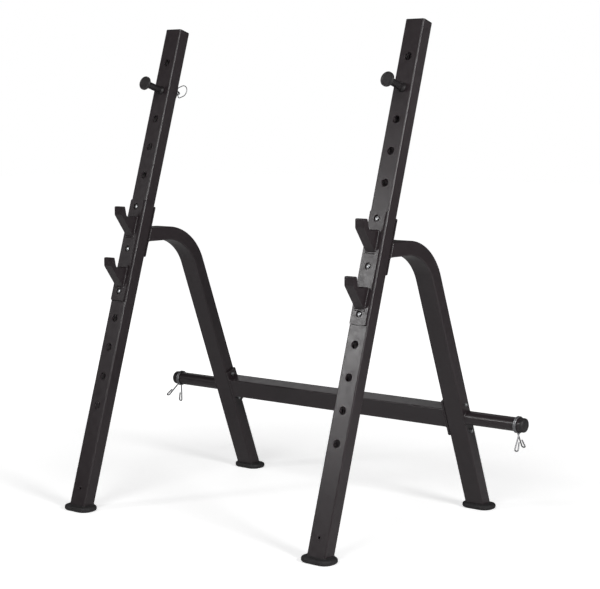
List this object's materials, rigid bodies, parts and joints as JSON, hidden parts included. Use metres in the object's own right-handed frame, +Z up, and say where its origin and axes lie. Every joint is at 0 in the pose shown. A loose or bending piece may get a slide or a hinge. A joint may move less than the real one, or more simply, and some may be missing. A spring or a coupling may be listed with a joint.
{
  "type": "squat stand",
  "caption": "Free-standing squat stand with two leaning uprights, double bar hooks, bent rear legs, a crossbeam, rack pins and side horns for weight plates.",
  "frame": {"origin": "on the floor, in the middle of the stand's box", "axes": "+X to the right of someone who faces the stand's hooks from in front, +Y from the uprights to the rear feet, +Z up"},
  "size_m": [1.6502, 1.022, 1.7383],
  "materials": {
    "powder_coat": "satin, finely textured dark charcoal powder coat",
    "black_steel": "satin black coated steel",
    "black_plastic": "moulded black plastic, satin",
    "foot_rubber": "moulded black rubber, matte",
    "zinc_plate": "bright zinc plating",
    "spring_steel": "polished plated spring wire"
  },
  "bodies": {
    "frame": {"upright_left": "powder_coat", "upright_cap_left": "black_plastic", "bar_catch_left": "powder_coat", "leg_plate_left": "powder_coat", "catch_bolt_1_left": "zinc_plate", "catch_nut_1_left": "zinc_plate", "catch_bolt_2_left": "zinc_plate", "catch_nut_2_left": "zinc_plate", "catch_bolt_3_left": "zinc_plate", "catch_nut_3_left": "zinc_plate", "rear_leg_left": "powder_coat", "front_foot_left": "foot_rubber", "rear_foot_left": "foot_rubber", "beam_end_plate_left": "powder_coat", "beam_bolt_1_left": "zinc_plate", "beam_nut_1_left": "zinc_plate", "beam_bolt_2_left": "zinc_plate", "beam_nut_2_left": "zinc_plate", "weight_horn_left": "powder_coat", "horn_cap_left": "black_plastic", "upright_right": "powder_coat", "upright_cap_right": "black_plastic", "bar_catch_right": "powder_coat", "leg_plate_right": "powder_coat", "catch_bolt_1_right": "zinc_plate", "catch_nut_1_right": "zinc_plate", "catch_bolt_2_right": "zinc_plate", "catch_nut_2_right": "zinc_plate", "catch_bolt_3_right": "zinc_plate", "catch_nut_3_right": "zinc_plate", "rear_leg_right": "powder_coat", "front_foot_right": "foot_rubber", "rear_foot_right": "foot_rubber", "beam_end_plate_right": "powder_coat", "beam_bolt_1_right": "zinc_plate", "beam_nut_1_right": "zinc_plate", "beam_bolt_2_right": "zinc_plate", "beam_nut_2_right": "zinc_plate", "weight_horn_right": "powder_coat", "horn_cap_right": "black_plastic", "crossbeam": "powder_coat"},
    "rack_pin_left": {"rack_pin_left": "black_steel", "rack_pin_disc_left": "black_steel"},
    "lynch_pin_left": {"lynch_pin_left": "zinc_plate"},
    "lynch_ring_left": {"lynch_ring_left": "spring_steel"},
    "spring_clip_left": {"spring_clip_left": "spring_steel"},
    "rack_pin_right": {"rack_pin_right": "black_steel", "rack_pin_disc_right": "black_steel"},
    "lynch_pin_right": {"lynch_pin_right": "zinc_plate"},
    "lynch_ring_right": {"lynch_ring_right": "spring_steel"},
    "spring_clip_right": {"spring_clip_right": "spring_steel"}
  },
  "joints": [
    {"name": "rack_pin_turn_left", "type": "hinge", "parent": "frame", "child": "rack_pin_left", "pos_m": [-0.55, -0.00659, 1.50308], "axis": [0, 0.9558, -0.294], "continuous": true},
    {"name": "lynch_pin_pull_left", "type": "slide", "parent": "rack_pin_left", "child": "lynch_pin_left", "axis": [0.9397, 0.1006, 0.3269], "range_m": [0, 0.045]},
    {"name": "lynch_ring_flip_left", "type": "hinge", "parent": "lynch_pin_left", "child": "lynch_ring_left", "pos_m": [-0.52482, 0.03338, 1.50037], "axis": [-0.342, 0.2763, 0.8982], "range_deg": [0, 180]},
    {"name": "spring_clip_slide_left", "type": "slide", "parent": "frame", "child": "spring_clip_left", "axis": [1, 0, 0], "range_m": [0, 0.18]},
    {"name": "rack_pin_turn_right", "type": "hinge", "parent": "frame", "child": "rack_pin_right", "pos_m": [0.55, -0.00659, 1.50308], "axis": [0, 0.9558, -0.294], "continuous": true},
    {"name": "lynch_pin_pull_right", "type": "slide", "parent": "rack_pin_right", "child": "lynch_pin_right", "axis": [-0.9397, 0.1006, 0.3269], "range_m": [0, 0.045]},
    {"name": "lynch_ring_flip_right", "type": "hinge", "parent": "lynch_pin_right", "child": "lynch_ring_right", "pos_m": [0.52482, 0.03338, 1.50037], "axis": [-0.342, -0.2763, -0.8982], "range_deg": [0, 180]},
    {"name": "spring_clip_slide_right", "type": "slide", "parent": "frame", "child": "spring_clip_right", "axis": [-1, 0, 0], "range_m": [0, 0.18]}
  ]
}
